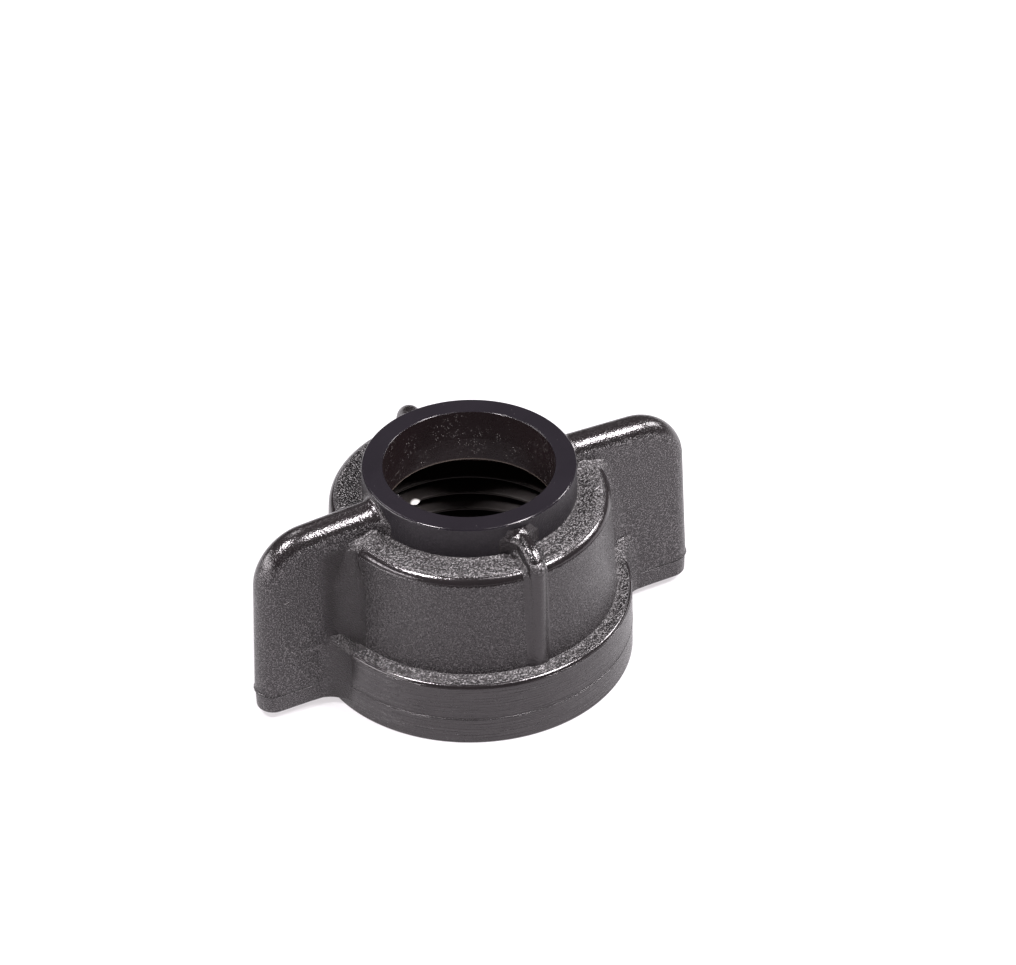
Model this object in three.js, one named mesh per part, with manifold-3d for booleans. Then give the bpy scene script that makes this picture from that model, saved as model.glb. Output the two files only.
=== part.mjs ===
// Hose-coupling wing nut: one glass-filled plastic moulding, built here as its moulded features.
// Millimetres, +Z up. Thread axis on Z, wings along X, grip ribs along Y, underside of the ring at z = 0.
import * as THREE from 'three';
import { mergeVertices } from 'three/addons/utils/BufferGeometryUtils.js';
import Module from 'manifold-3d';

// ---- driving dimensions ----
const H = 24.10;              // overall height, ring underside to neck rim
const SEG = 96;               // facets round the axis
const GAP = 0.05;             // clearance left between neighbouring nodes

const RING_R = 17.20;         // outside of the base ring
const RING_TOP = 7.75;        // ledge on top of the ring
const RING_EDGE = 0.50;       // round on the ring's upper edge
const RING_FOOT = 0.12;       // chamfer on the ring's lower edge
const RING_IN = 15.62;        // where the ring meets the shell

const BODY_R0 = 15.55;        // shell outside radius at the ledge
const BODY_R1 = 14.96;        // shell outside radius at the shoulder (moulding draft)
const SHOULDER_Z = 20.25;     // flat shoulder round the neck
const SHOULDER_ROUND = 1.10;  // round on the shoulder's outer edge
const CEILING_Z = 17.50;      // top of the threaded socket, the face that pulls the joint tight
const SEAT_R = 13.45;         // outside of that face; beyond it the shoulder steps up onto the shell
const SEAT_STEP = 0.20;

const NECK_R = 11.40;         // outside of the neck collar
const NECK_EDGE = 0.18;       // small round on the rim
const BORE_R = 9.15;          // open bore through the neck

const THREAD_PITCH = 2.209;   // 11.5 threads per inch
const THREAD_MAJOR_R = 13.62; // internal thread root
const THREAD_MINOR_R = 12.10; // internal thread crest
const THREAD_START = 1.60;    // first full crest above the mouth
const THREAD_TURNS = 6.0;
const LEAD_IN_R = 14.05;      // chamfered mouth

const PART_Z = 3.25;          // height of the mould parting line
const WING_X = 25.90;         // wing tip from the axis at the parting line
const WING_X_TOP = 25.30;     // the same at the top, with draft
const WING_T = 1.95;          // half thickness at the parting line
const WING_T_TOP = 1.80;      // half thickness near the top
const WING_BOTTOM = 0.89;
const WING_TOP = 23.25;       // wing crest beside the neck
const WING_SLOPE = 0.049;     // fall of the crest per mm outwards
const WING_CORNER = 5.90;     // outer top corner radius
const WING_ROOT = 2.50;       // fillet between wing and shell, and wing and ring
const WING_ROOT_NECK = 1.40;  // fillet between wing and neck

const RIB_T = 0.95;           // half thickness of the full-round rib
const RIB_R = 16.10;          // outermost point of the rib from the axis
const RIB_TOP = 23.00;        // rib crest beside the neck
const RIB_SLOPE = 0.16;
const RIB_CORNER = 2.60;

// ---- booleans ----
const wasm = await Module();
wasm.setup();
const { Manifold, Mesh } = wasm;

function solid(geometry) {
  const g = geometry.clone();
  g.deleteAttribute('normal');
  g.deleteAttribute('uv');
  const merged = mergeVertices(g, 1e-5);
  const pos = new Float32Array(merged.attributes.position.array);
  const index = merged.index.array;
  const tri = [];
  for (let i = 0; i < index.length; i += 3) {
    const a = index[i], b = index[i + 1], c = index[i + 2];
    if (a !== b && b !== c && a !== c) tri.push(a, b, c);
  }
  return new Manifold(new Mesh({ numProp: 3, vertProperties: pos, triVerts: new Uint32Array(tri) }));
}

function geometryOf(manifold) {
  const m = manifold.getMesh();
  const stride = m.numProp;
  const pos = new Float32Array((m.vertProperties.length / stride) * 3);
  for (let i = 0; i < pos.length / 3; i++) {
    pos[3 * i] = m.vertProperties[stride * i];
    pos[3 * i + 1] = m.vertProperties[stride * i + 1];
    pos[3 * i + 2] = m.vertProperties[stride * i + 2];
  }
  const g = new THREE.BufferGeometry();
  g.setAttribute('position', new THREE.BufferAttribute(pos, 3));
  g.setIndex(new THREE.BufferAttribute(new Uint32Array(m.triVerts), 1));
  g.computeVertexNormals();
  return g;
}

// Lathe round Z from a closed list of [radius, z] points.
function lathe(points, segments = SEG) {
  const closed = points.map(([r, z]) => new THREE.Vector2(r, z));
  if (points[0][0] > 1e-9) closed.push(closed[0].clone());
  const g = new THREE.LatheGeometry(closed, segments);
  g.rotateX(Math.PI / 2);
  return g;
}

// Quarter round from (r0, z0) to (r1, z1) about (cr, cz).
function arc(cr, cz, radius, from, to, steps) {
  const out = [];
  for (let i = 0; i <= steps; i++) {
    const t = from + (to - from) * i / steps;
    out.push([cr + radius * Math.cos(t), cz + radius * Math.sin(t)]);
  }
  return out;
}

const bodyR = (z) => BODY_R0 + (BODY_R1 - BODY_R0) * (z - RING_TOP) / (SHOULDER_Z - RING_TOP);

// ---- turned features ----
const baseRing = lathe([
  [RING_IN, 0],
  [RING_R - RING_FOOT, 0],
  [RING_R, RING_FOOT],
  [RING_R, PART_Z],
  ...arc(RING_R - RING_EDGE - 0.04, RING_TOP - RING_EDGE, RING_EDGE, 0, Math.PI / 2, 5),
  [RING_IN, RING_TOP],
]);

const shellTop = CEILING_Z + SEAT_STEP - GAP;
const threadedShell = lathe([
  [LEAD_IN_R, 0],
  [RING_IN - GAP, 0],
  [RING_IN - GAP, RING_TOP],
  [BODY_R0, RING_TOP + 0.01],
  [bodyR(shellTop), shellTop],
  [THREAD_MAJOR_R, shellTop],
  [THREAD_MAJOR_R, LEAD_IN_R - THREAD_MAJOR_R],
]);

const shoulderOuter = bodyR(SHOULDER_Z - SHOULDER_ROUND);
const shoulderCap = lathe([
  [BORE_R, CEILING_Z],
  [SEAT_R, CEILING_Z],
  [SEAT_R, CEILING_Z + SEAT_STEP],
  [bodyR(CEILING_Z + SEAT_STEP), CEILING_Z + SEAT_STEP],
  ...arc(shoulderOuter - SHOULDER_ROUND, SHOULDER_Z - SHOULDER_ROUND, SHOULDER_ROUND, 0, Math.PI / 2, 6),
  [BORE_R, SHOULDER_Z],
]);

const neckCollar = lathe([
  [BORE_R, SHOULDER_Z + GAP],
  [NECK_R, SHOULDER_Z + GAP],
  ...arc(NECK_R - NECK_EDGE, H - NECK_EDGE, NECK_EDGE, 0, Math.PI / 2, 3),
  ...arc(BORE_R + NECK_EDGE, H - NECK_EDGE, NECK_EDGE, Math.PI / 2, Math.PI, 3),
]);

// ---- right-hand internal thread: a ridge on a helix, its ends run out into the wall ----
function threadRidge() {
  const per = 72;
  const total = Math.round(per * THREAD_TURNS);
  const rootHalf = THREAD_PITCH * 0.42;   // half width at the wall
  const crestHalf = THREAD_PITCH * 0.085; // half width at the crest
  const wall = THREAD_MAJOR_R - GAP - 0.02;
  const pos = [];
  for (let i = 0; i <= total; i++) {
    const a = (i / per) * 2 * Math.PI;
    const z = THREAD_START + THREAD_PITCH * i / per;
    const ease = Math.min(1, i / (per * 0.25), (total - i) / (per * 0.25));
    const k = 0.12 + 0.88 * ease;
    const crest = wall - (wall - THREAD_MINOR_R) * k;
    const rh = rootHalf * k, ch = crestHalf * k;
    for (const [r, dz] of [[wall, -rh], [wall, rh], [crest, ch], [crest, -ch]]) {
      pos.push(r * Math.cos(a), r * Math.sin(a), z + dz);
    }
  }
  const idx = [];
  for (let i = 0; i < total; i++) {
    for (let j = 0; j < 4; j++) {
      const a = 4 * i + j, b = 4 * i + (j + 1) % 4, c = a + 4, d = b + 4;
      idx.push(a, c, b, b, c, d);
    }
  }
  idx.push(0, 1, 2, 0, 2, 3);
  const e = 4 * total;
  idx.push(e, e + 2, e + 1, e, e + 3, e + 2);
  const g = new THREE.BufferGeometry();
  g.setAttribute('position', new THREE.Float32BufferAttribute(pos, 3));
  g.setIndex(idx);
  return g;
}

// ---- envelope of the turned features, opened by the gap, that wings and ribs are cut to ----
const envelope = solid(lathe([
  [0, -5],
  [RING_R + GAP, -5],
  [RING_R + GAP, PART_Z],
  ...arc(RING_R - RING_EDGE - 0.04, RING_TOP - RING_EDGE, RING_EDGE + GAP, 0, Math.PI / 2, 5),
  [BODY_R0 + GAP, RING_TOP + GAP],
  ...arc(shoulderOuter - SHOULDER_ROUND, SHOULDER_Z - SHOULDER_ROUND, SHOULDER_ROUND + GAP, 0, Math.PI / 2, 6),
  [NECK_R + GAP, SHOULDER_Z + GAP],
  [NECK_R + GAP, 40],
  [0, 40],
]));

// A plate with a full-round edge: mid-plane outline grown by its half thickness.
function roundPlate(outline, half, bevelSegments) {
  const shape = new THREE.Shape(outline.map(([x, z]) => new THREE.Vector2(x, z)));
  const g = new THREE.ExtrudeGeometry(shape, {
    depth: 0.02, steps: 1, bevelEnabled: true, bevelThickness: half - 0.01, bevelSize: half, bevelSegments, curveSegments: 1,
  });
  g.translate(0, 0, -0.01);
  return g; // outline in XY, thickness along Z
}

// ---- wing pointing along +X ----
function wingSolid() {
  const r = WING_T;
  const tip = (z) => WING_X + (WING_X_TOP - WING_X) * (z - PART_Z) / (WING_TOP - PART_Z) - r;
  const topAt = (x) => WING_TOP - WING_SLOPE * (x - NECK_R) - r;
  const cr = WING_CORNER - r;
  const zc = topAt(tip(WING_TOP) - cr) - cr;
  const xc = tip(zc) - cr;
  const lower = (z) => WING_X - 0.035 * (PART_Z - z) - r;
  const outline = [[6, -4], [lower(-4), -4], [tip(PART_Z), PART_Z], [tip(zc), zc]];
  for (let i = 1; i < 8; i++) {
    const t = (i / 8) * (Math.PI / 2);
    outline.push([xc + cr * Math.cos(t), zc + cr * Math.sin(t)]);
  }
  outline.push([xc, topAt(xc)], [6, topAt(6)]);
  const g = roundPlate(outline, r, 6);
  g.rotateX(Math.PI / 2);
  const p = g.attributes.position;
  for (let i = 0; i < p.count; i++) {
    const z = Math.max(p.getZ(i), WING_BOTTOM);
    const up = Math.max(0, (z - PART_Z) / (WING_TOP - PART_Z));
    p.setY(i, p.getY(i) * (1 + (WING_T_TOP / WING_T - 1) * up));
  }
  let wing = solid(g);

  // Concave root fillets against a round wall of radius R, from z0 to z1, for both faces of the wing.
  // The run-out cone slopes each fillet's top down and outwards.
  function addRoot(R, f, z0, z1) {
    const y0 = WING_T * 0.94;
    const cy = y0 + f, cx = Math.sqrt((R + f) ** 2 - cy ** 2);
    const a0 = -Math.PI / 2, a1 = Math.atan2(-cy, -cx);
    const runOut = solid(lathe([[0, -10], [R + f + 3, -10], [R + f + 3, z1 - f - 3], [R - 0.2, z1], [0, z1]], 48));
    for (const side of [1, -1]) {
      const pts = [new THREE.Vector2(R - 4, 0), new THREE.Vector2(cx, 0)];
      for (let i = 0; i <= 7; i++) {
        const t = a0 + (a1 - a0) * i / 7;
        pts.push(new THREE.Vector2(cx + f * Math.cos(t), cy + f * Math.sin(t)));
      }
      pts.push(new THREE.Vector2(R - 4, cy * R / (R + f)));
      const shape = new THREE.Shape(pts.map((v) => new THREE.Vector2(v.x, v.y * side)));
      const fillet = new THREE.ExtrudeGeometry(shape, { depth: z1 - z0, bevelEnabled: false, steps: 1, curveSegments: 1 });
      fillet.translate(0, 0, z0);
      wing = wing.add(solid(fillet).intersect(runOut));
    }
  }
  addRoot(RING_R, WING_ROOT, WING_BOTTOM - 1, RING_TOP + 0.9);
  addRoot(bodyR((RING_TOP + SHOULDER_Z) / 2), WING_ROOT, RING_TOP - 1, SHOULDER_Z - 0.4);
  addRoot(NECK_R, WING_ROOT_NECK, SHOULDER_Z - 1, WING_TOP - 0.9);
  const floor = new THREE.BoxGeometry(80, 80, 20);
  floor.translate(0, 0, WING_BOTTOM - 10);
  return wing.subtract(solid(floor)).subtract(envelope);
}

// ---- grip rib pointing along +X, later turned to face Y ----
function ribSolid() {
  const r = RIB_T;
  const tip = RIB_R - r;
  const topAt = (x) => RIB_TOP - RIB_SLOPE * (x - NECK_R) - r;
  const cr = RIB_CORNER - r;
  const xc = tip - cr, zc = topAt(xc) - cr;
  const outline = [[8, 2], [tip, 2], [tip, zc]];
  for (let i = 1; i < 6; i++) {
    const t = (i / 6) * (Math.PI / 2);
    outline.push([xc + cr * Math.cos(t), zc + cr * Math.sin(t)]);
  }
  outline.push([xc, topAt(xc)], [8, topAt(8)]);
  const g = roundPlate(outline, r, 5);
  g.rotateX(Math.PI / 2);
  return solid(g).subtract(envelope);
}

const wing = wingSolid();
const rib = ribSolid();
const turned = (manifold, deg) => {
  const g = geometryOf(manifold);
  g.rotateZ(THREE.MathUtils.degToRad(deg));
  return g;
};

// ---- scene graph ----
const plastic = (color, roughness) => new THREE.MeshStandardMaterial({ color, roughness, metalness: 0 });
const group = new THREE.Group();
function part(name, geometry, material) {
  const mesh = new THREE.Mesh(geometry, material);
  mesh.name = name;
  group.add(mesh);
}

part('base_ring', baseRing, plastic(0x3a3739, 0.42));
part('threaded_shell', threadedShell, plastic(0x373436, 0.58));
part('internal_thread', threadRidge(), plastic(0x2b2829, 0.45));
part('shoulder_cap', shoulderCap, plastic(0x3b393a, 0.70));
part('neck_collar', neckCollar, plastic(0x353236, 0.45));
part('wing_left', turned(wing, 180), plastic(0x383537, 0.55));
part('wing_right', turned(wing, 0), plastic(0x383537, 0.55));
part('rib_front', turned(rib, -90), plastic(0x383537, 0.55));
part('rib_rear', turned(rib, 90), plastic(0x383537, 0.55));

export default group;
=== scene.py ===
"""Hose-coupling wing nut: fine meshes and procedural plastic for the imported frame. Lengths in this file are millimetres until a mesh is made."""
import math

import bpy
import numpy as np
from mathutils import Matrix, Vector


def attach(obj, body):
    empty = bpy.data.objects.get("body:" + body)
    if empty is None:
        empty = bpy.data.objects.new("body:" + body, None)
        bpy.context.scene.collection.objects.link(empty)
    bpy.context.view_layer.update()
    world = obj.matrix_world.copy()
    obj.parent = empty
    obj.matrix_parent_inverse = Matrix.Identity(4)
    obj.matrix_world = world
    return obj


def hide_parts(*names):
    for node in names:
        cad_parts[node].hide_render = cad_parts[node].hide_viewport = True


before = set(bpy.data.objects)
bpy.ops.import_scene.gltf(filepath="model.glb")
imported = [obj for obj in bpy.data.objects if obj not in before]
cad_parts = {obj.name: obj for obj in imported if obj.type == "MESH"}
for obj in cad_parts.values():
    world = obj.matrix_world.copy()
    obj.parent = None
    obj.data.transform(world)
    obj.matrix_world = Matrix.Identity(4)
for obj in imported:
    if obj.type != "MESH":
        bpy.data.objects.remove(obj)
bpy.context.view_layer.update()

# ---------------------------------------------------------------- dimensions (mm)
H = 24.10
RING_R, RING_TOP, RING_EDGE, RING_FOOT = 17.20, 7.75, 0.50, 0.12
BODY_R0, BODY_R1 = 15.55, 14.96
SHOULDER_Z, SHOULDER_ROUND, CEILING_Z = 20.25, 1.10, 17.50
NECK_R, NECK_EDGE, BORE_R = 11.40, 0.24, 9.15
FOOT_FILLET, NECK_FILLET = 0.30, 0.22
BURR_AT = 190.0
PITCH, MAJOR_R, MINOR_R, LEAD_R = 2.209, 13.62, 12.10, 14.05
THREAD_START, THREAD_TURNS = 1.60, 6.0
PART_Z = 3.25
WING_X, WING_X_TOP, WING_T, WING_T_TOP, WING_BOTTOM = 25.90, 25.30, 1.95, 1.80, 0.89
WING_TOP, WING_SLOPE, WING_CORNER = 23.25, 0.049, 5.90
WING_ROOT = 2.50
RIB_T, RIB_R, RIB_TOP, RIB_SLOPE, RIB_CORNER = 0.95, 16.10, 23.00, 0.16, 2.60


# ---------------------------------------------------------------- signed distances
def round_union(a, b, R):
    return np.maximum(R, np.minimum(a, b)) - np.hypot(np.maximum(R - a, 0), np.maximum(R - b, 0))


def round_inter(a, b, R):
    return np.minimum(-R, np.maximum(a, b)) + np.hypot(np.maximum(R + a, 0), np.maximum(R + b, 0))


def ramp(a, b, x):
    t = np.clip((x - a) / (b - a), 0, 1)
    return t * t * (3 - 2 * t)


def body_r(z):
    return BODY_R0 + (BODY_R1 - BODY_R0) * (z - RING_TOP) / (SHOULDER_Z - RING_TOP)


def hub2(r, z):
    ring = round_inter(r - RING_R, z - RING_TOP, RING_EDGE)
    body = round_inter((r - body_r(z)) * 0.9989, z - SHOULDER_Z, SHOULDER_ROUND)
    neck = round_inter(r - NECK_R, z - H, NECK_EDGE)
    return round_union(round_union(ring, body, FOOT_FILLET), neck, NECK_FILLET)


def wing_half(x, z):
    """Half thickness of a wing, and its end line, at height z."""
    zz = np.maximum(z, WING_BOTTOM)
    up = np.maximum(0, (zz - PART_Z) / (WING_TOP - PART_Z))
    dn = np.maximum(0, PART_Z - zz)
    inset = 0.05 * (1 - ramp(PART_Z - 0.16, PART_Z, z))
    flash = 0.13 * np.exp(-((zz - PART_Z) / 0.14) ** 2) * ramp(21.5, 24.0, x)
    rh = WING_T + (WING_T_TOP - WING_T) * up - 0.03 * dn - inset + 0.25 * flash
    return rh, WING_X + (WING_X_TOP - WING_X) * up - 0.035 * dn - rh - inset + flash


def wing_plate(x, y, z):
    rh, tip = wing_half(x, z)
    top = WING_TOP - WING_SLOPE * (x - NECK_R) - rh
    d2 = round_inter(x - tip, z - top, WING_CORNER - WING_T)
    return np.hypot(np.maximum(d2, 0), y) - rh


def rib_plate(x, y, z):
    top = RIB_TOP - RIB_SLOPE * (x - NECK_R) - RIB_T
    d2 = round_inter(x - (RIB_R - RIB_T), z - top, RIB_CORNER - RIB_T)
    return np.hypot(np.maximum(d2, 0), y) - RIB_T


def wing_blend(x, y, z):
    """A wing with its root blends. The root fillet comes first, the shoulder's round runs over it, and a smaller blend joins the part above.
    Away from the blend the skin drops just under the hub's surface, so that only the blend shows."""
    r = np.hypot(x, y)
    hub, b = hub2(r, z), wing_plate(x, y, z)
    sink = 0.004 + 0.3 * ramp(0, 0.6, b - WING_ROOT)
    ring = round_inter(r - RING_R, z - RING_TOP, RING_EDGE)
    trunk = round_union(ring, (r - body_r(z)) * 0.9989, FOOT_FILLET) + sink
    low = round_union(trunk, np.abs(y) - wing_half(x, z)[0], WING_ROOT - 1.35 * ramp(15.0, 19.4, z))
    low = np.maximum(round_inter(low, z - SHOULDER_Z + sink, SHOULDER_ROUND), r - 20.2)
    R = (0.5 + ramp(14.0, 12.4, r) * (1.0 - 0.8 * ramp(21.8, 23.2, z))) * ramp(19.5, 20.2, z) * ramp(17.0, 15.3, r)
    d = round_union(np.minimum(hub + sink, low), b, np.maximum(R, 0.02))
    d = np.maximum(d, -(hub + 0.9))
    d = np.maximum(d, b - WING_ROOT - 1.0)
    return round_inter(d, WING_BOTTOM - z, 0.25)


def rib_blend(x, y, z):
    r = np.hypot(x, y)
    hub, b = hub2(r, z), rib_plate(x, y, z)
    R = 0.55 + 0.95 * ramp(14.2, 12.2, r) * ramp(20.1, 20.9, z) * (1 - 0.6 * ramp(22.0, 22.9, z))
    d = round_union(hub + 0.004 + 0.3 * ramp(0, 0.6, b - R), b, R)
    d = np.maximum(d, -(hub + 0.9))
    d = np.maximum(d, b - R - 1.0)
    return round_inter(d, RING_TOP - 0.8 - z, 0.05)


# ---------------------------------------------------------------- meshes
def surface_nets(f, lo, hi, cell):
    """Closed quad mesh of f = 0, its points then moved onto the exact surface. Returns points, quads and normals."""
    ax = [np.arange(a, b + cell, cell) for a, b in zip(lo, hi)]
    X, Y, Z = np.meshgrid(*ax, indexing="ij")
    v = f(X, Y, Z)
    v = np.where(v == 0, 1e-9, v)
    shape = np.array(v.shape) - 1
    total = int(np.prod(shape))
    acc, cnt = np.zeros((total, 3)), np.zeros(total)
    quads = []

    def cell_id(ijk):
        return (ijk[:, 0] * shape[1] + ijk[:, 1]) * shape[2] + ijk[:, 2]

    for k in range(3):
        a = np.take(v, range(v.shape[k] - 1), axis=k)
        b = np.take(v, range(1, v.shape[k]), axis=k)
        at = np.argwhere((a < 0) != (b < 0))
        va, vb = a[tuple(at.T)], b[tuple(at.T)]
        p = np.stack([ax[i][at[:, i]] for i in range(3)], axis=1)
        p[:, k] += cell * va / (va - vb)
        u, w = (k + 1) % 3, (k + 2) % 3
        corners, inside = [], np.ones(len(at), bool)
        for du, dw in ((0, 0), (-1, 0), (-1, -1), (0, -1)):
            c = at.copy()
            c[:, u] += du
            c[:, w] += dw
            inside &= np.all((c >= 0) & (c < shape), axis=1)
            corners.append(c)
        for c in corners:
            i = cell_id(c[inside])
            np.add.at(acc, i, p[inside])
            np.add.at(cnt, i, 1)
        q = np.stack([cell_id(c[inside]) for c in corners], axis=1)
        flip = va[inside] > 0
        q[flip] = q[flip][:, ::-1]
        quads.append(q)
    q = np.concatenate(quads)
    used = np.unique(q)
    number = np.full(total, -1)
    number[used] = np.arange(len(used))
    pts = acc[used] / cnt[used, None]
    q = number[q]
    e = 1e-4

    def grad(p):
        g = np.stack([f(*(p + e * d).T) - f(*(p - e * d).T) for d in np.eye(3)], axis=1) / (2 * e)
        return g

    for _ in range(6):
        g = grad(pts)
        s = f(*pts.T) / np.maximum((g * g).sum(1), 0.2)
        pts = pts - np.clip(s, -0.4 * cell, 0.4 * cell)[:, None] * g
    g = grad(pts)
    return pts, q, g / np.maximum(np.linalg.norm(g, axis=1), 1e-9)[:, None]


def make_object(name, pts, faces, normals=None, sharp=None):
    mesh = bpy.data.meshes.new(name)
    pts = np.asarray(pts, float) * 0.001
    faces = np.asarray(faces)
    mesh.vertices.add(len(pts))
    mesh.vertices.foreach_set("co", pts.astype(np.float32).ravel())
    per = faces.shape[1]
    mesh.loops.add(faces.size)
    mesh.loops.foreach_set("vertex_index", faces.astype(np.int32).ravel())
    mesh.polygons.add(len(faces))
    mesh.polygons.foreach_set("loop_start", np.arange(0, faces.size, per, dtype=np.int32))
    mesh.polygons.foreach_set("loop_total", np.full(len(faces), per, np.int32))
    mesh.update(calc_edges=True)
    mesh.validate()
    mesh.polygons.foreach_set("use_smooth", np.ones(len(mesh.polygons), bool))
    if normals is not None:
        mesh.normals_split_custom_set_from_vertices([tuple(n) for n in normals])
    elif sharp is not None:
        mesh.set_sharp_from_angle(angle=math.radians(sharp))
    ob = bpy.data.objects.new(name, mesh)
    bpy.context.scene.collection.objects.link(ob)
    return ob


def arc(cr, cz, radius, a0, a1, n):
    t = np.radians(np.linspace(a0, a1, n + 1))
    return [(cr + radius * math.cos(a), cz + radius * math.sin(a)) for a in t]


def on_hub(points):
    """Moves profile points onto the hub's exact outline."""
    p = np.array(points, float)
    e = 1e-5
    for _ in range(8):
        v = hub2(p[:, 0], p[:, 1])
        gr = (hub2(p[:, 0] + e, p[:, 1]) - hub2(p[:, 0] - e, p[:, 1])) / (2 * e)
        gz = (hub2(p[:, 0], p[:, 1] + e) - hub2(p[:, 0], p[:, 1] - e)) / (2 * e)
        s = v / np.maximum(gr * gr + gz * gz, 0.2)
        p[:, 0] -= s * gr
        p[:, 1] -= s * gz
    return [tuple(q) for q in p]


def support(points, near=0.03, far=0.9):
    """Adds points close to both ends of long straight runs, and divides them, so that shading stays flat there."""
    out = []
    n = len(points)
    for i in range(n):
        a, b = np.array(points[i]), np.array(points[(i + 1) % n])
        out.append(tuple(a))
        length = np.linalg.norm(b - a)
        if length > 4 * near:
            inner = [near / length]
            parts = max(1, int(round(length / far)))
            inner += [k / parts for k in range(1, parts)]
            inner.append(1 - near / length)
            out += [tuple(a + (b - a) * t) for t in inner]
    return out


def lathe(name, profile, n=384, sharp=32, shape=None):
    """Closed ring from a closed profile, given anticlockwise seen with r to the right and z up."""
    prof = np.array(support(profile))
    m = len(prof)
    th = np.linspace(0, 2 * np.pi, n, endpoint=False)
    r, z = prof[:, 0], prof[:, 1]
    P = np.stack([np.outer(np.cos(th), r), np.outer(np.sin(th), r), np.broadcast_to(z, (n, m))], axis=2)
    if shape is not None:
        P = shape(P, th)
    i, j = np.meshgrid(np.arange(n), np.arange(m), indexing="ij")
    i2, j2 = (i + 1) % n, (j + 1) % m
    faces = np.stack([i * m + j, i2 * m + j, i2 * m + j2, i * m + j2], axis=2).reshape(-1, 4)
    return make_object(name, P.reshape(-1, 3), faces, sharp=sharp)


SEAM_LOW, SEAM_MID, SEAM_NECK = RING_TOP + FOOT_FILLET, 17.70, SHOULDER_Z + NECK_FILLET
SHELL_FOOT_R = 15.50
se = SHOULDER_ROUND
shoulder_c = body_r(SHOULDER_Z - se) - se

# the tool's joint leaves a fine witness line round the ring
WITNESS = (-0.12, -0.07, 0.0, 0.07, 0.12)
ring_profile = [(SHELL_FOOT_R, 0), (RING_R - RING_FOOT, 0)] + on_hub(
    [(RING_R, RING_FOOT)] + [(RING_R, PART_Z + d) for d in WITNESS] + arc(RING_R - RING_EDGE, RING_TOP - RING_EDGE, RING_EDGE, 0, 90, 12)
    + arc(BODY_R0 + FOOT_FILLET, RING_TOP + FOOT_FILLET, FOOT_FILLET, 270, 180, 8)
) + [(15.30, SEAM_LOW - 0.02), (15.30, 0.2)]
ring_profile[2] = (RING_R, RING_FOOT)
for k, d in enumerate(WITNESS):
    ring_profile[3 + k] = (RING_R + 0.040 * (1 - (d / 0.12) ** 2), PART_Z + d)

foot = on_hub([(BODY_R0, SEAM_LOW)])[0]
foot = ring_profile[-3]
shell_profile = [(LEAD_R, 0), (SHELL_FOOT_R, 0), (SHELL_FOOT_R, SEAM_LOW - 0.1), foot] + on_hub(
    [(body_r(z), z) for z in np.linspace(SEAM_LOW + 0.4, SEAM_MID, 14)]
) + [(MAJOR_R, SEAM_MID), (MAJOR_R, LEAD_R - MAJOR_R)]
mid = shell_profile[-3]

neck_foot = on_hub([(NECK_R, SEAM_NECK)])[0]
shoulder_profile = [(BORE_R + 0.2, CEILING_Z), (13.9, CEILING_Z), (13.9, SEAM_MID - 0.02), mid] + on_hub(
    [(body_r(18.4), 18.4)] + arc(shoulder_c, SHOULDER_Z - se, se, 2, 90, 16)
    + arc(NECK_R + NECK_FILLET, SHOULDER_Z + NECK_FILLET, NECK_FILLET, 270, 182, 7)
) + [neck_foot, (BORE_R, SEAM_NECK), (BORE_R, CEILING_Z + 0.2)]

neck_profile = [neck_foot] + on_hub(
    [(NECK_R, z) for z in np.linspace(SEAM_NECK + 0.3, H - NECK_EDGE - 0.05, 8)]
    + arc(NECK_R - NECK_EDGE, H - NECK_EDGE, NECK_EDGE, 0, 90, 8)
) + arc(BORE_R + 0.12, H - 0.12, 0.12, 90, 180, 7) + [(BORE_R, z) for z in np.linspace(H - 0.5, SEAM_NECK + 0.4, 8)] + [(BORE_R, SEAM_NECK)]


def neck_burr(P, th):
    """A ragged nick in the bore's upper edge, rear left."""
    r = np.hypot(P[..., 0], P[..., 1])
    a = np.degrees(th)[:, None] - BURR_AT
    a = (a + 180) % 360 - 180
    w = np.exp(-(a / 3.4) ** 2) * (0.55 + 0.30 * np.sin(a * 2.1) + 0.25 * np.sin(a * 4.7 + 1.0))
    near = ramp(BORE_R + 0.45, BORE_R + 0.10, r) * ramp(H - 0.9, H - 0.1, P[..., 2])
    k = 1 - 0.26 * w * near / r
    out = P.copy()
    out[..., 0] *= k
    out[..., 1] *= k
    out[..., 2] -= 0.10 * w * near * np.cos(a * 3.3)
    return out


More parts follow.
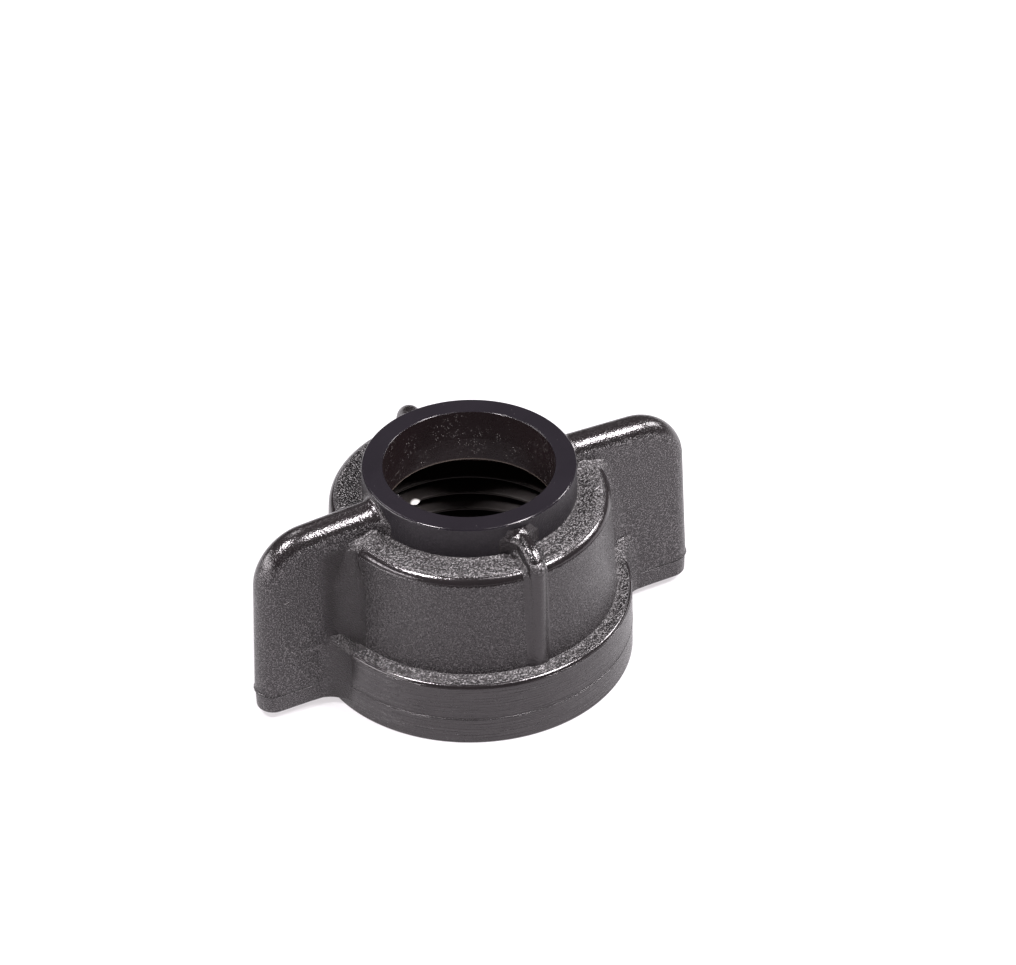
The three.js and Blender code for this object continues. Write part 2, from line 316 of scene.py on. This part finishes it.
def thread_mesh():
    per, wall = 240, MAJOR_R + 0.05
    total = int(per * THREAD_TURNS)
    h = wall - MINOR_R
    # profile as (height over the wall, offset along z in pitches), rounded at the crest and eased at the root
    prof = [(0.0, -0.500), (0.055, -0.490), (0.10, -0.462), (0.20, -0.405), (0.45, -0.285), (0.72, -0.160), (0.86, -0.105), (0.95, -0.070), (0.99, -0.035),
            (1.0, 0.0), (0.99, 0.035), (0.95, 0.070), (0.86, 0.105), (0.72, 0.160), (0.45, 0.285), (0.20, 0.405), (0.10, 0.462), (0.055, 0.490), (0.0, 0.500)]
    m = len(prof)
    i = np.arange(total + 1)
    a = i / per * 2 * np.pi
    zc = THREAD_START + PITCH * i / per
    ease = np.clip(np.minimum(i, total - i) / (per * 0.25), 0, 1)
    k = 0.03 + 0.97 * ease * ease * (3 - 2 * ease)
    up = np.array([p[0] for p in prof])
    dz = np.array([p[1] for p in prof])
    r = wall - h * np.outer(k, up)
    z = zc[:, None] + PITCH * 0.97 * np.outer(0.35 + 0.65 * k, dz)
    # two small chips of flash at the back of the socket
    turn_deg = np.degrees(a)[:, None] % 360
    r = r - 0.50 * np.exp(-((turn_deg - 93.2) / 2.6) ** 2 - ((z - 10.93) / 0.34) ** 2)
    r = r - 0.45 * np.exp(-((turn_deg - 89.8) / 1.9) ** 2 - ((z - 9.97) / 0.34) ** 2)
    P = np.stack([r * np.cos(a)[:, None], r * np.sin(a)[:, None], z], axis=2)
    faces = []
    I, J = np.meshgrid(np.arange(total), np.arange(m), indexing="ij")
    J2 = (J + 1) % m
    q = np.stack([I * m + J, I * m + J2, (I + 1) * m + J2, (I + 1) * m + J], axis=2).reshape(-1, 4)
    faces = q[:, ::-1]
    pts = P.reshape(-1, 3)
    # end caps as fans of triangles round a centre point
    caps = []
    for end, base in ((0, 0), (1, total * m)):
        c = len(pts)
        pts = np.concatenate([pts, pts[base:base + m].mean(0)[None]])
        for j in range(0, m, 1):
            tri = [base + j, base + (j + 1) % m, c]
            caps.append(tri if end == 0 else tri[::-1])
    mesh_faces = [tuple(f) for f in faces] + [tuple(c) for c in caps]
    mesh = bpy.data.meshes.new("thread_ridge")
    mesh.from_pydata((pts * 0.001).tolist(), [], mesh_faces)
    mesh.validate()
    mesh.polygons.foreach_set("use_smooth", np.ones(len(mesh.polygons), bool))
    mesh.set_sharp_from_angle(angle=math.radians(50))
    ob = bpy.data.objects.new("thread_ridge", mesh)
    bpy.context.scene.collection.objects.link(ob)
    return ob


CELL = 0.15
wp, wq, wn = surface_nets(wing_blend, (9.5, -6.6, 0.4), (26.4, 6.6, 23.9), CELL)
rp, rq, rn = surface_nets(rib_blend, (9.9, -2.9, 6.6), (16.5, 2.9, 23.4), CELL * 0.6)


def turned(p, deg):
    a = math.radians(deg)
    c, s = math.cos(a), math.sin(a)
    return np.stack([c * p[:, 0] - s * p[:, 1], s * p[:, 0] + c * p[:, 1], p[:, 2]], axis=1)


made = {
    "ring_band": (lathe("ring_band", ring_profile), "base_ring"),
    "shell_wall": (lathe("shell_wall", shell_profile), "threaded_shell"),
    "thread_ridge": (thread_mesh(), "internal_thread"),
    "shoulder_top": (lathe("shoulder_top", shoulder_profile), "shoulder_cap"),
    "neck_wall": (lathe("neck_wall", neck_profile, n=576, shape=neck_burr), "neck_collar"),
    "wing_blade_left": (make_object("wing_blade_left", turned(wp, 180), wq, turned(wn, 180)), "wing_left"),
    "wing_blade_right": (make_object("wing_blade_right", wp, wq, wn), "wing_right"),
    "rib_bead_front": (make_object("rib_bead_front", turned(rp, -90), rq, turned(rn, -90)), "rib_front"),
    "rib_bead_rear": (make_object("rib_bead_rear", turned(rp, 90), rq, turned(rn, 90)), "rib_rear"),
}


# ---------------------------------------------------------------- materials
class Tree:
    def __init__(self, name):
        self.mat = bpy.data.materials.new(name)
        self.mat.use_nodes = True
        self.t = self.mat.node_tree
        self.t.nodes.clear()
        out = self.t.nodes.new("ShaderNodeOutputMaterial")
        self.bsdf = self.t.nodes.new("ShaderNodeBsdfPrincipled")
        self.t.links.new(self.bsdf.outputs[0], out.inputs[0])
        co = self.t.nodes.new("ShaderNodeTexCoord")
        self.mm = self.vec("MULTIPLY", co.outputs["Object"], (1000, 1000, 1000))
        sep = self.t.nodes.new("ShaderNodeSeparateXYZ")
        self.t.links.new(self.mm, sep.inputs[0])
        self.x, self.y, self.z = sep.outputs
        nor = self.t.nodes.new("ShaderNodeSeparateXYZ")
        self.t.links.new(co.outputs["Normal"], nor.inputs[0])
        self.nz = nor.outputs[2]
        flat = self.node("ShaderNodeCombineXYZ")
        self.put(flat.inputs[0], self.x)
        self.put(flat.inputs[1], self.y)
        self.r = self.vec("LENGTH", flat.outputs[0], None, out=1)

    def node(self, kind, **props):
        n = self.t.nodes.new(kind)
        for k, v in props.items():
            setattr(n, k, v)
        return n

    def put(self, socket, value):
        if hasattr(value, "links") or isinstance(value, bpy.types.NodeSocket):
            self.t.links.new(value, socket)
        else:
            socket.default_value = value

    def vec(self, op, a, b=None, out=0):
        n = self.node("ShaderNodeVectorMath", operation=op)
        self.put(n.inputs[0], a)
        if b is not None:
            self.put(n.inputs[1], b)
        return n.outputs[out]

    def math(self, op, a, b=None, c=None, clamp=False):
        n = self.node("ShaderNodeMath", operation=op, use_clamp=clamp)
        for s, v in zip(n.inputs, (a, b, c)):
            if v is not None:
                self.put(s, v)
        return n.outputs[0]

    def smooth(self, x, a, b, lo=0.0, hi=1.0):
        n = self.node("ShaderNodeMapRange", interpolation_type="SMOOTHSTEP")
        for s, v in zip(n.inputs, (x, a, b, lo, hi)):
            self.put(s, v)
        return n.outputs[0]

    def noise(self, scale, detail=2.0, rough=0.5, vector=None, distortion=0.0):
        n = self.node("ShaderNodeTexNoise")
        self.put(n.inputs["Vector"], vector if vector is not None else self.mm)
        n.inputs["Scale"].default_value = scale
        n.inputs["Detail"].default_value = detail
        n.inputs["Roughness"].default_value = rough
        n.inputs["Distortion"].default_value = distortion
        return n.outputs["Fac"]

    def cells(self, scale, feature="F1", out="Distance", vector=None, randomness=1.0):
        n = self.node("ShaderNodeTexVoronoi", feature=feature)
        self.put(n.inputs["Vector"], vector if vector is not None else self.mm)
        n.inputs["Scale"].default_value = scale
        n.inputs["Randomness"].default_value = randomness
        return n.outputs[out]

    def curve(self, x, stops):
        """Piecewise value of x through (x, value) stops, smooth between them."""
        out = None
        for (a, va), (b, vb) in zip(stops, stops[1:]):
            s = self.smooth(x, a, b, 0.0, vb - va)
            out = s if out is None else self.math("ADD", out, s)
        return self.math("ADD", out, stops[0][1])

    def mix(self, f, a, b):
        n = self.node("ShaderNodeMix", data_type="RGBA")
        self.put(n.inputs["Factor"], f)
        self.put(n.inputs[6], a)
        self.put(n.inputs[7], b)
        return n.outputs[2]

    def bump(self, height, strength=1.0, normal=None):
        n = self.node("ShaderNodeBump")
        n.inputs["Strength"].default_value = strength
        n.inputs["Distance"].default_value = 0.001
        self.put(n.inputs["Height"], height)
        if normal is not None:
            self.put(n.inputs["Normal"], normal)
        return n.outputs[0]


def plastic(name, colour, rough, grain, size=5.5, lines=0.0, dust=0.0, specks=0.5, part_line=False, inside=None, scratches=(), foot=None, root=False, specular=0.5, pale=0.13, socket=None, shelves=(), chips=()):
    """Near-black filled plastic. rough and grain are lists of (normal z, value) stops; grain is the height in mm of the spark-eroded texture."""
    t = Tree(name)
    amp = t.curve(t.nz, grain)
    soft = t.curve(t.nz, rough)
    if foot is not None:
        # the texture runs on into the small corner at the foot of the part above
        near = t.math("MULTIPLY", t.smooth(t.r, foot + 0.8, foot + 0.35), t.smooth(t.nz, 0.1, 0.3))
        amp = t.math("ADD", t.math("MULTIPLY", amp, t.math("SUBTRACT", 1.0, near)), t.math("MULTIPLY", near, COARSE))
        soft = t.math("ADD", t.math("MULTIPLY", soft, t.math("SUBTRACT", 1.0, near)), t.math("MULTIPLY", near, 0.50))
    for z0, z1 in shelves:
        # the coarse texture of a level ledge runs on over the blends that end in it
        near = t.math("MULTIPLY", t.math("MULTIPLY", t.smooth(t.z, z0 - 0.4, z0), t.smooth(t.z, z1 + 0.5, z1)), t.math("MULTIPLY", t.smooth(t.nz, 0.12, 0.45), t.smooth(t.r, 19.2, 17.8)))
        amp = t.math("ADD", t.math("MULTIPLY", amp, t.math("SUBTRACT", 1.0, near)), t.math("MULTIPLY", near, COARSE))
        soft = t.math("ADD", t.math("MULTIPLY", soft, t.math("SUBTRACT", 1.0, near)), t.math("MULTIPLY", near, 0.45))
    if inside is not None:
        bore = t.math("MULTIPLY", t.smooth(t.r, inside + 0.45, inside + 0.20), t.smooth(t.nz, 0.5, 0.2))
        amp = t.math("ADD", t.math("MULTIPLY", amp, t.math("SUBTRACT", 1.0, bore)), t.math("MULTIPLY", bore, 0.008))
        soft = t.math("ADD", t.math("MULTIPLY", soft, t.math("SUBTRACT", 1.0, bore)), t.math("MULTIPLY", bore, 0.28))
    level = t.smooth(amp, 0.0, 0.08)
    strong = t.smooth(amp, 0.07, 0.16)
    fine = t.noise(size, 1.5, 0.5)
    big = t.noise(size * 0.72, 1.0, 0.5)
    fine = t.math("ADD", t.math("MULTIPLY", fine, t.math("SUBTRACT", 1.0, t.math("MULTIPLY", strong, 0.6))), t.math("MULTIPLY", big, t.math("MULTIPLY", strong, 0.6)))
    pits = t.cells(size * 0.75)
    height = t.math("ADD", t.math("MULTIPLY", fine, 1.3), t.math("MULTIPLY", pits, 0.5))
    height = t.math("MULTIPLY", height, amp)
    # slow unevenness of a moulded skin
    swell = t.noise(0.45, 2.0, 0.5)
    height = t.math("ADD", height, t.math("MULTIPLY", swell, 0.03))
    tone = t.noise(0.16, 3.0, 0.55)
    base = t.mix(tone, tuple(c * 0.75 for c in colour) + (1,), tuple(min(1, c * 1.25) for c in colour) + (1,))
    # painted highlight and painted shade: the texture's crests are painted pale (pale sets how strong), its brightest
    # crests on level faces near-white as painted glints, and its hollows are painted dark as painted shade
    crest = t.smooth(fine, 0.53, 0.61)
    painted_hollow_shade = t.smooth(fine, 0.50, 0.40)
    base = t.mix(t.math("MULTIPLY", crest, t.math("MULTIPLY", level, pale)), base, (0.36, 0.335, 0.348, 1))
    painted_glint = t.math("MULTIPLY", t.smooth(fine, 0.535, 0.580), strong)
    base = t.mix(t.math("MULTIPLY", painted_glint, 0.9), base, (0.125, 0.117, 0.121, 1))
    base = t.mix(t.math("MULTIPLY", painted_hollow_shade, t.math("MULTIPLY", level, 0.9)), base, tuple(c * 0.15 for c in colour) + (1,))
    if root:
        # painted shade: the base colour is darkened in the corners beside the hub, where the hub shades them
        painted_shading_mask = t.math("MULTIPLY", t.smooth(t.r, 19.4, 17.6), t.smooth(t.z, 20.6, 19.2))
        base = t.mix(t.math("MULTIPLY", painted_shading_mask, 0.9), base, (0.0020, 0.0012, 0.0012, 1))
    if lines:
        ang = t.math("ARCTAN2", t.y, t.x)
        side = t.smooth(t.math("ABSOLUTE", t.nz), 0.35, 0.05)
        tool = None
        for along, across, share in ((1.1, 9.0, 0.5), (3.0, 4.2, 0.5)):
            v = t.node("ShaderNodeCombineXYZ")
            t.put(v.inputs[0], t.math("MULTIPLY", t.math("SINE", ang), along))
            t.put(v.inputs[1], t.math("MULTIPLY", t.z, across))
            t.put(v.inputs[2], t.math("MULTIPLY", t.math("COSINE", ang), along))
            n = t.math("MULTIPLY", t.noise(1.0, 2.0, 0.6, v.outputs[0]), share)
            tool = n if tool is None else t.math("ADD", tool, n)
        tool = t.math("MULTIPLY", tool, side)
        height = t.math("ADD", height, t.math("MULTIPLY", tool, lines))
        groove = t.smooth(tool, 0.56, 0.66)
        base = t.mix(t.math("MULTIPLY", groove, 0.5), base, tuple(c * 2.6 for c in colour) + (1,))
    fleck = t.smooth(t.cells(2.6), 0.13, 0.05)
    fleck = t.math("MULTIPLY", fleck, t.smooth(t.noise(1.3, 1.0, 0.5), 0.60, 0.66))
    base = t.mix(t.math("MULTIPLY", fleck, specks), base, (0.24, 0.22, 0.22, 1))
    if inside is not None:
        base = t.mix(bore, base, (0.0070, 0.0042, 0.0047, 1))
        patch = t.smooth(t.noise(0.32, 2.0, 0.6), 0.44, 0.62)
        mote = t.smooth(t.cells(5.0), 0.26, 0.10)
        mote = t.math("MULTIPLY", mote, t.smooth(t.noise(2.1, 2.0, 0.6), 0.46, 0.60))
        mote = t.math("MULTIPLY", t.math("MULTIPLY", mote, patch), bore)
        base = t.mix(t.math("MULTIPLY", mote, dust), base, (0.42, 0.38, 0.38, 1))
    if socket is not None:
        # painted light: the socket's inner wall and ceiling get a paler brown base colour, standing in for the light
        # that reaches into the socket
        painted_shading_mask = t.math("MULTIPLY", t.smooth(t.r, socket + 0.9, socket + 0.5), t.smooth(t.z, CEILING_Z + 0.4, CEILING_Z + 0.2))
        base = t.mix(painted_shading_mask, base, (0.090, 0.070, 0.062, 1))
    if part_line:
        wob = t.math("MULTIPLY", t.math("SUBTRACT", t.noise(0.5, 2.0, 0.5), 0.5), 0.12)
        d = t.math("ABSOLUTE", t.math("SUBTRACT", t.math("ADD", t.z, wob), PART_Z - 0.06))
        line = t.math("MULTIPLY", t.smooth(d, 0.13, 0.05), t.smooth(t.math("ABSOLUTE", t.x), 18.5, 22.5))
        base = t.mix(t.math("MULTIPLY", line, 0.95), base, (0.0015, 0.001, 0.001, 1))
        height = t.math("SUBTRACT", height, t.math("MULTIPLY", line, 0.30))
    for (x0, z0), (x1, z1), width, strength in scratches:
        length = math.hypot(x1 - x0, z1 - z0)
        ux, uz = (x1 - x0) / length, (z1 - z0) / length
        dx, dz = t.math("SUBTRACT", t.x, x0), t.math("SUBTRACT", t.z, z0)
        s = t.math("ADD", t.math("MULTIPLY", dx, ux), t.math("MULTIPLY", dz, uz))
        s = t.math("MINIMUM", t.math("MAXIMUM", s, 0.0), length)
        ex, ez = t.math("SUBTRACT", dx, t.math("MULTIPLY", s, ux)), t.math("SUBTRACT", dz, t.math("MULTIPLY", s, uz))
        gap = t.math("SQRT", t.math("ADD", t.math("MULTIPLY", ex, ex), t.math("MULTIPLY", ez, ez)))
        front = t.math("LESS_THAN", t.y, 0.0)
        cut = t.math("MULTIPLY", t.math("MULTIPLY", t.smooth(gap, width, width * 0.3), front), t.smooth(t.noise(2.5, 1.0, 0.5), 0.40, 0.55))
        base = t.mix(t.math("MULTIPLY", cut, strength), base, (0.30, 0.28, 0.28, 1))
    t.put(t.bsdf.inputs["Base Color"], base)
    r = t.math("ADD", t.math("MULTIPLY", t.math("SUBTRACT", t.noise(1.7, 2.0, 0.6), 0.5), 0.12), soft)
    if root:
        r = t.math("ADD", r, t.math("MULTIPLY", painted_shading_mask, 0.08))
    if part_line:
        r = t.math("ADD", r, t.math("MULTIPLY", line, 0.6))
    if chips:
        # painted highlight: the chips are painted near-white and made less rough, so that they show as a bright spot
        painted_chip_highlight = None
        for at in chips:
            away = t.vec("DISTANCE", t.mm, at, out=1)
            near = t.smooth(away, 0.75, 0.45)
            painted_chip_highlight = near if painted_chip_highlight is None else t.math("MAXIMUM", painted_chip_highlight, near)
        r = t.math("SUBTRACT", r, t.math("MULTIPLY", painted_chip_highlight, 0.30))
        t.put(t.bsdf.inputs["Base Color"], t.mix(painted_chip_highlight, base, (0.70, 0.66, 0.65, 1)))
    t.put(t.bsdf.inputs["Roughness"], t.math("ADD", r, t.math("MULTIPLY", fleck, 0.2), clamp=True))
    t.bsdf.inputs["IOR"].default_value = 1.52
    t.bsdf.inputs["Specular IOR Level"].default_value = specular
    t.bsdf.inputs["Specular Tint"].default_value = (1.0, 0.93, 0.965, 1)
    t.put(t.bsdf.inputs["Normal"], t.bump(height))
    return t.mat


BLACK = (0.0072, 0.0058, 0.0063)
SIDE, COARSE, EASED = 0.085, 0.19, 0.022
side_grain = [(0.0, SIDE), (0.20, SIDE), (0.50, EASED), (1.0, EASED)]
side_rough = [(0.0, 0.25), (0.2, 0.25), (0.5, 0.17), (1.0, 0.17)]
left_marks = [((-23.4, 9.8), (-21.9, 7.9), 0.045, 0.35), ((-22.9, 15.2), (-22.2, 15.4), 0.06, 0.5)]
wing_shelves = [(19.4, 20.9), (7.3, 8.7)]
rib_shelves = [(19.6, 20.9), (7.5, 8.3)]
mats = {
    "ring_band": plastic("ring_satin", BLACK, [(0.0, 0.26), (0.4, 0.15), (0.9, 0.17), (0.97, 0.30)], [(0.0, 0.010), (0.3, 0.006), (0.90, 0.012), (0.98, COARSE)], size=6.5, lines=0.14, foot=BODY_R0),
    "shell_wall": plastic("shell_grain", BLACK, [(0.0, 0.26), (0.3, 0.26)], [(-0.2, 0.01), (-0.02, SIDE), (0.3, SIDE), (0.8, 0.01)], size=7.0, pale=0.07, socket=MAJOR_R),
    "thread_ridge": plastic("thread_smooth", (0.013, 0.0100, 0.0090), [(-1, 0.50), (1, 0.50)], [(-1, 0.008), (1, 0.008)], specular=0.10, chips=[(-0.65, 11.7, 10.93), (0.05, 11.7, 9.97)]),
    "shoulder_top": plastic("shoulder_grain", BLACK, [(0.0, 0.26), (0.3, 0.16), (0.88, 0.16), (0.97, 0.30)], [(0.06, SIDE), (0.30, 0.010), (0.83, 0.014), (0.93, COARSE * 0.45), (0.985, COARSE)], size=6.5, foot=NECK_R, inside=BORE_R, dust=0.9, socket=MAJOR_R, pale=0.07),
    "neck_wall": plastic("neck_satin", (0.0068, 0.0056, 0.0074), [(0.0, 0.40), (0.22, 0.30), (0.40, 0.12), (0.9, 0.14), (1.0, 0.20)], [(0.0, SIDE * 0.4), (0.2, SIDE * 0.3), (0.5, 0.002), (1.0, 0.003)], dust=0.9, specks=0.15, inside=BORE_R, pale=0.02, specular=0.28),
    # the left wing alone gets the painted root shade, and the right wing gets a stronger painted crest highlight than
    # the left
    "wing_blade_left": plastic("wing_grain_l", BLACK, side_rough, side_grain, size=7.0, part_line=True, scratches=left_marks, root=True, pale=0.13, shelves=wing_shelves),
    "wing_blade_right": plastic("wing_grain_r", BLACK, side_rough, side_grain, size=7.0, part_line=True, pale=0.17, shelves=wing_shelves),
    "rib_bead_front": plastic("rib_grain_f", BLACK, side_rough, [(0.0, SIDE * 0.5), (0.25, SIDE * 0.8), (0.6, 0.035), (1.0, 0.035)], pale=0.01, shelves=rib_shelves),
    "rib_bead_rear": plastic("rib_grain_b", BLACK, side_rough, [(0.0, SIDE * 0.5), (0.25, SIDE * 0.8), (0.6, 0.035), (1.0, 0.035)], pale=0.01, shelves=rib_shelves),
}
for key, (ob, node) in made.items():
    ob.data.materials.append(mats[key])
    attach(ob, "root")
    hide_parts(node)

# ---------------------------------------------------------------- floor, light and camera
floor = make_object("floor", [(-900, -900, 0), (900, -900, 0), (900, 900, 0), (-900, 900, 0)], [[0, 1, 2, 3]])
floor.location.z = -0.00002
fm = bpy.data.materials.new("floor_pale")
fm.use_nodes = True
nt = fm.node_tree
fb = nt.nodes["Principled BSDF"]
fb.inputs["Base Color"].default_value = (0.19, 0.186, 0.193, 1)
fb.inputs["Roughness"].default_value = 0.9
fb.inputs["Specular IOR Level"].default_value = 0.1
fb.inputs["Emission Color"].default_value = (1, 0.95, 0.98, 1)
fb.inputs["Emission Strength"].default_value = 0.66
floor.data.materials.append(fm)

world = bpy.data.worlds.new("world")
bpy.context.scene.world = world
world.use_nodes = True
world.node_tree.nodes["Background"].inputs[0].default_value = (1, 1, 1, 1)
world.node_tree.nodes["Background"].inputs[1].default_value = 0.07


def softbox(name, azimuth, elevation, size, power, distance=0.40, target=(0, 0, 0.012)):
    """azimuth 0 shines from the front (-Y), 90 from +X."""
    a, e = math.radians(azimuth), math.radians(elevation)
    d = Vector((math.sin(a) * math.cos(e), -math.cos(a) * math.cos(e), math.sin(e)))
    light = bpy.data.lights.new(name, "AREA")
    light.shape = "RECTANGLE"
    light.size, light.size_y = size
    light.energy = power
    ob = bpy.data.objects.new(name, light)
    ob.location = Vector(target) + d * distance
    ob.rotation_euler = d.to_track_quat("Z", "Y").to_euler()
    bpy.context.scene.collection.objects.link(ob)
    return ob


softbox("key_right", 42, 55, (0.12, 0.12), 4.2)
softbox("side_right", 86, 32, (0.10, 0.10), 1.3)
softbox("key_left", -84, 59, (0.10, 0.07), 2.8)
softbox("back_left", -176, 52, (0.07, 0.07), 0.30)
softbox("card_left", -104, 17, (0.50, 0.07), 1.7)
softbox("fill_front", 4, 65, (0.05, 0.05), 0.14)


def camera():
    cam = bpy.data.cameras.new("camera")
    cam.lens = 216.19
    cam.sensor_width = 36
    ob = bpy.data.objects.new("camera", cam)
    bpy.context.scene.collection.objects.link(ob)
    yaw, pitch, roll, az = (math.radians(v) for v in (0.456, 37.583, -1.149, -26.597))
    fwd = Vector((math.sin(yaw) * math.cos(pitch), math.cos(yaw) * math.cos(pitch), -math.sin(pitch)))
    right = Vector((math.cos(yaw), -math.sin(yaw), 0))
    up = right.cross(fwd)
    r2 = math.cos(roll) * right + math.sin(roll) * up
    u2 = -math.sin(roll) * right + math.cos(roll) * up
    turn = Matrix.Rotation(az, 3, "Z")
    r, u, b = turn @ r2, turn @ u2, -(turn @ fwd)
    at = turn @ Vector((0, -595.135, 482.967)) * 0.00086
    ob.matrix_world = Matrix((
        (r.x, u.x, b.x, at.x), (r.y, u.y, b.y, at.y), (r.z, u.z, b.z, at.z), (0, 0, 0, 1)))
    cam.clip_start = 0.05
    cam.clip_end = 5
    bpy.context.scene.camera = ob


camera()
bpy.context.scene.view_settings.view_transform = "Standard"
bpy.context.scene.view_settings.look = "None"
